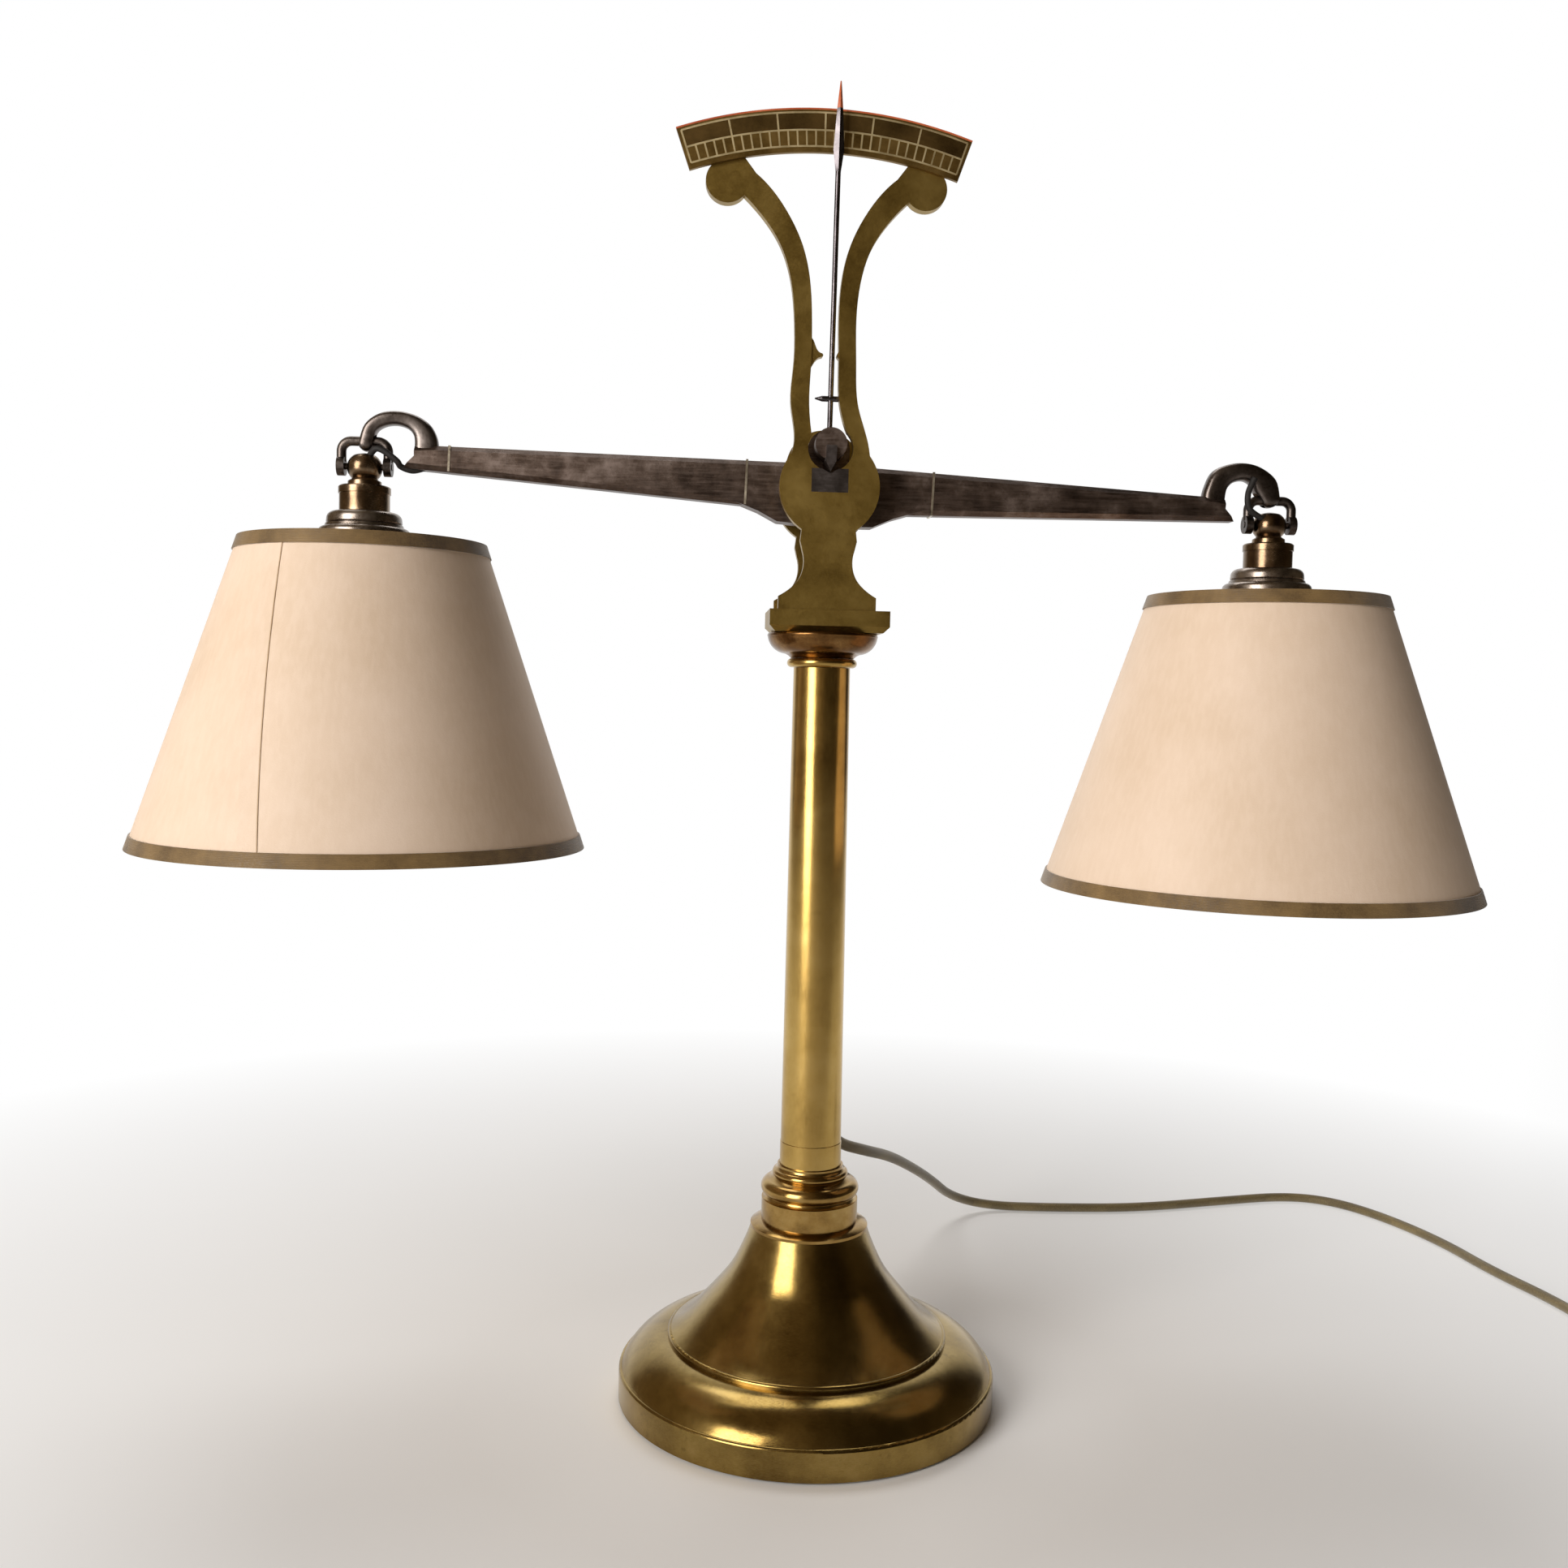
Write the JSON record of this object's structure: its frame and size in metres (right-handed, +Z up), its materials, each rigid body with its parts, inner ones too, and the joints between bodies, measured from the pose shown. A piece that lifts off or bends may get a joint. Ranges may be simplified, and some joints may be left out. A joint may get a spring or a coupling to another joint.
{
  "type": "balance scale table lamp",
  "caption": "Table lamp made from an equal-arm beam balance: round brass base and column, lyre dial, tilting steel beam with a hanging lamp under each end.",
  "frame": {"origin": "middle of the base's underside, on the table", "axes": "+Z up, +X along the beam to the lamp that hangs lower, -Y toward the dial side"},
  "size_m": [0.829, 0.3796, 0.5984],
  "materials": {
    "base_brass": "aged, polished",
    "felt_green": "felt",
    "iron_weight": "raw",
    "rod_steel": "zinc plated",
    "socket_brass": "aged, turned",
    "column_brass": "aged, polished",
    "capital_bronze": "dark patina",
    "head_brass": "satin, olive patina",
    "screw_brass": "satin",
    "bearing_steel": "ground",
    "dial_brass": "satin, engraved",
    "beam_steel": "forged, worn",
    "band_steel": "worn",
    "hook_steel": "forged, worn",
    "wire_black": "matt",
    "pointer_steel": "blued",
    "pointer_red": "satin",
    "flex_cloth": "braided",
    "sleeve_rubber": "matt",
    "clip_brass": "aged",
    "tie_black": "matt",
    "plug_plastic": "moulded",
    "pin_metal": "bright",
    "holder_brass": "aged",
    "holder_pewter": "antique silver",
    "socket_black": "moulded",
    "bulb_metal": "threaded",
    "bulb_glass": "opal",
    "frame_wire": "plated wire",
    "shade_card": "parchment card",
    "shade_trim": "ribbon",
    "shackle_steel": "dark, worn"
  },
  "bodies": {
    "stand": {"back_bearing": "bearing_steel", "back_cheek": "head_brass", "base_felt": "felt_green", "base_nut": "rod_steel", "base_shell": "base_brass", "base_weight": "iron_weight", "capital_cup": "capital_bronze", "capital_ring": "column_brass", "cheek_screws": "screw_brass", "column_lead": "flex_cloth", "column_socket": "socket_brass", "column_tube": "column_brass", "cord_coil": "flex_cloth", "cord_tie": "tie_black", "cord_tube": "flex_cloth", "dial_plate": "dial_brass", "front_bearing": "bearing_steel", "front_cheek": "head_brass", "head_spacer": "head_brass", "lead_clip": "clip_brass", "lead_sleeve": "sleeve_rubber", "plinth": "head_brass", "plug_body": "plug_plastic", "plug_pins": "pin_metal", "tie_rod": "rod_steel"},
    "beam_body": {"beam": "beam_steel", "beam_bands": "band_steel", "beam_hub": "beam_steel", "beam_wires": "wire_black", "knife_edge": "bearing_steel", "left_swan_neck": "hook_steel", "right_swan_neck": "hook_steel", "pointer_stem": "pointer_steel", "pointer_blade": "pointer_steel", "pointer_tip": "pointer_red"},
    "left_link": {"left_shackle": "shackle_steel", "left_ball_pin": "shackle_steel"},
    "left_lamp": {"left_lampholder_cap": "holder_brass", "left_upper_ring": "holder_pewter", "left_lower_ring": "holder_pewter", "left_socket": "socket_black", "left_bulb_cap": "bulb_metal", "left_bulb": "bulb_glass", "left_shade_frame": "frame_wire", "left_shade": "shade_card", "left_trim_top": "shade_trim", "left_trim_bottom": "shade_trim"},
    "right_link": {"right_shackle": "shackle_steel", "right_ball_pin": "shackle_steel"},
    "right_lamp": {"right_lampholder_cap": "holder_brass", "right_upper_ring": "holder_pewter", "right_lower_ring": "holder_pewter", "right_socket": "socket_black", "right_bulb_cap": "bulb_metal", "right_bulb": "bulb_glass", "right_shade_frame": "frame_wire", "right_shade": "shade_card", "right_trim_top": "shade_trim", "right_trim_bottom": "shade_trim"}
  },
  "joints": [
    {"name": "beam_rock", "type": "hinge", "parent": "stand", "child": "beam_body", "pos_m": [0, 0, 0.4303], "axis": [0, 1, 0], "range_deg": [-3, 0]},
    {"name": "left_link_swing", "type": "hinge", "parent": "beam_body", "child": "left_link", "pos_m": [-0.20929, 0, 0.44014], "axis": [0, 1, 0], "range_deg": [-8, 8]},
    {"name": "left_lamp_swing", "type": "hinge", "parent": "left_link", "child": "left_lamp", "pos_m": [-0.20929, 0, 0.42884], "axis": [1, 0, 0], "range_deg": [-20, 20]},
    {"name": "right_link_swing", "type": "hinge", "parent": "beam_body", "child": "right_link", "pos_m": [0.20948, 0, 0.42625], "axis": [0, 1, 0], "range_deg": [-8, 8]},
    {"name": "right_lamp_swing", "type": "hinge", "parent": "right_link", "child": "right_lamp", "pos_m": [0.20948, 0, 0.41495], "axis": [1, 0, 0], "range_deg": [-20, 20]}
  ]
}
